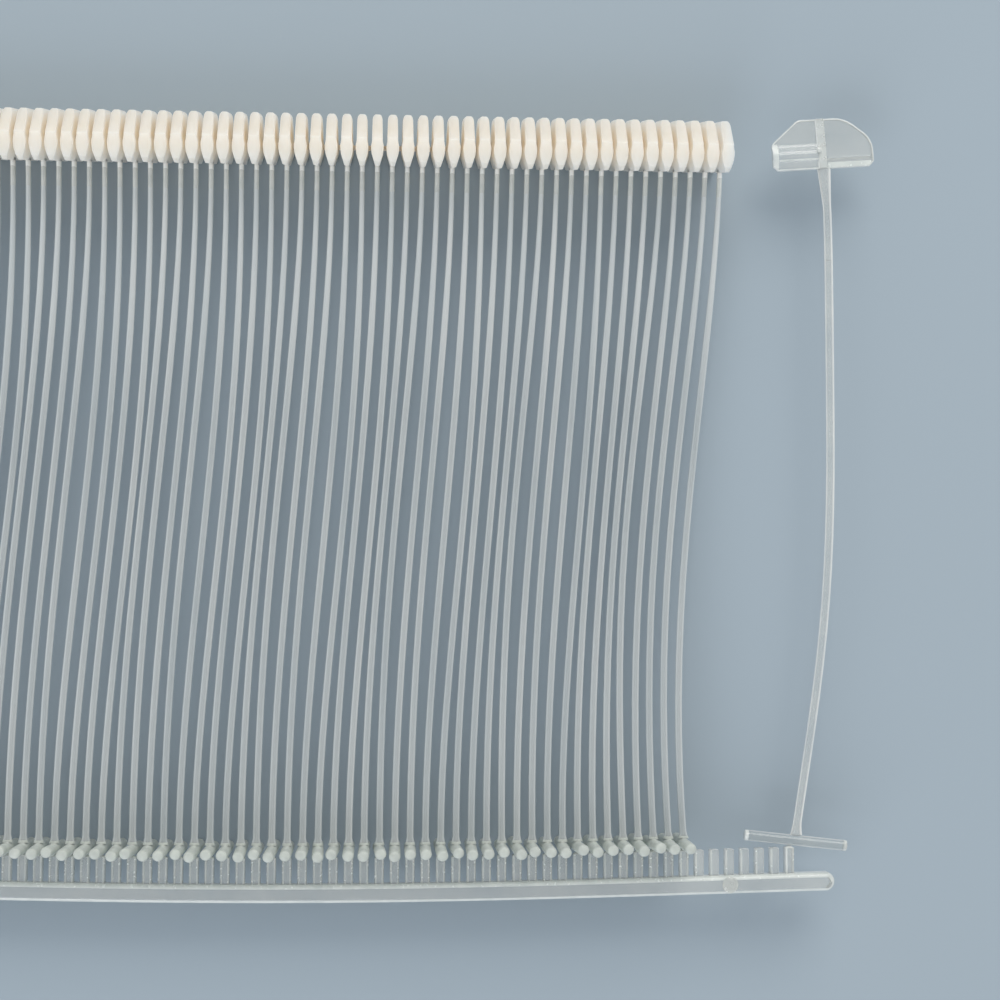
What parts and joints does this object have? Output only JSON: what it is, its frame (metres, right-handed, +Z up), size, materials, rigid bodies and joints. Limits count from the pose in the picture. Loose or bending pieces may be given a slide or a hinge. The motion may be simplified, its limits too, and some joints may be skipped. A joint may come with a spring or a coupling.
{
  "type": "garment tag fastener clip",
  "caption": "Part-used clip of moulded paddle-head tag fasteners on a feed bar, with one fastener twisted on its neck at the used end.",
  "frame": {"origin": "on the surface under the clip as it lies on its side, at the middle of its footprint", "axes": "+X along the feed bar towards the end that is used first, +Y from the feed bar up the filaments to the paddles, +Z up along the T-bars"},
  "size_m": [0.1565, 0.076, 0.0103],
  "materials": {
    "natural_nylon": "milky, slightly see-through moulded nylon",
    "clear_nylon": "clear moulded nylon with bright edges"
  },
  "bodies": {
    "clip": {"fastener_009": "natural_nylon", "fastener_010": "natural_nylon", "fastener_011": "natural_nylon", "fastener_012": "natural_nylon", "fastener_013": "natural_nylon", "fastener_014": "natural_nylon", "fastener_015": "natural_nylon", "fastener_016": "natural_nylon", "fastener_017": "natural_nylon", "fastener_018": "natural_nylon", "fastener_019": "natural_nylon", "fastener_020": "natural_nylon", "fastener_021": "natural_nylon", "fastener_022": "natural_nylon", "fastener_023": "natural_nylon", "fastener_024": "natural_nylon", "fastener_025": "natural_nylon", "fastener_026": "natural_nylon", "fastener_027": "natural_nylon", "fastener_028": "natural_nylon", "fastener_029": "natural_nylon", "fastener_030": "natural_nylon", "fastener_031": "natural_nylon", "fastener_032": "natural_nylon", "fastener_033": "natural_nylon", "fastener_034": "natural_nylon", "fastener_035": "natural_nylon", "fastener_036": "natural_nylon", "fastener_037": "natural_nylon", "fastener_038": "natural_nylon", "fastener_039": "natural_nylon", "fastener_040": "natural_nylon", "fastener_041": "natural_nylon", "fastener_042": "natural_nylon", "fastener_043": "natural_nylon", "fastener_044": "natural_nylon", "fastener_045": "natural_nylon", "fastener_046": "natural_nylon", "fastener_047": "natural_nylon", "fastener_048": "natural_nylon", "fastener_049": "natural_nylon", "fastener_050": "natural_nylon", "fastener_051": "natural_nylon", "fastener_052": "natural_nylon", "fasteners_053_to_058": "natural_nylon", "fasteners_059_to_064": "natural_nylon", "fasteners_065_to_070": "natural_nylon", "fasteners_071_to_076": "natural_nylon", "fasteners_077_to_082": "natural_nylon", "fasteners_083_to_088": "natural_nylon", "fasteners_089_to_094": "natural_nylon", "fasteners_095_to_100": "natural_nylon", "feed_bar": "clear_nylon"},
    "end_t_bar": {"end_t_bar": "clear_nylon"},
    "end_filament": {"end_filament": "clear_nylon"},
    "end_paddle": {"end_paddle": "clear_nylon"},
    "next_fastener": {"fastener_008": "natural_nylon"}
  },
  "joints": [
    {"name": "end_neck_twist", "type": "hinge", "parent": "clip", "child": "end_t_bar", "pos_m": [0.06957, -0.03262, 0.005], "axis": [0, 1, 0], "range_deg": [-90, 90], "stiffness_Nm_per_rad": 0.0001},
    {"name": "end_filament_flex", "type": "hinge", "parent": "end_t_bar", "child": "end_filament", "pos_m": [0.07039, -0.03064, 0.005], "axis": [0, 0, 1], "range_deg": [-75, 2], "stiffness_Nm_per_rad": 0.001},
    {"name": "end_paddle_flex", "type": "hinge", "parent": "end_filament", "child": "end_paddle", "pos_m": [0.07359, 0.02897, 0.005], "axis": [0, 0, 1], "range_deg": [-60, 30], "stiffness_Nm_per_rad": 0.0001},
    {"name": "next_fastener_release", "type": "slide", "parent": "clip", "child": "next_fastener", "axis": [0, 0, 1], "range_m": [0, 0.012]}
  ]
}
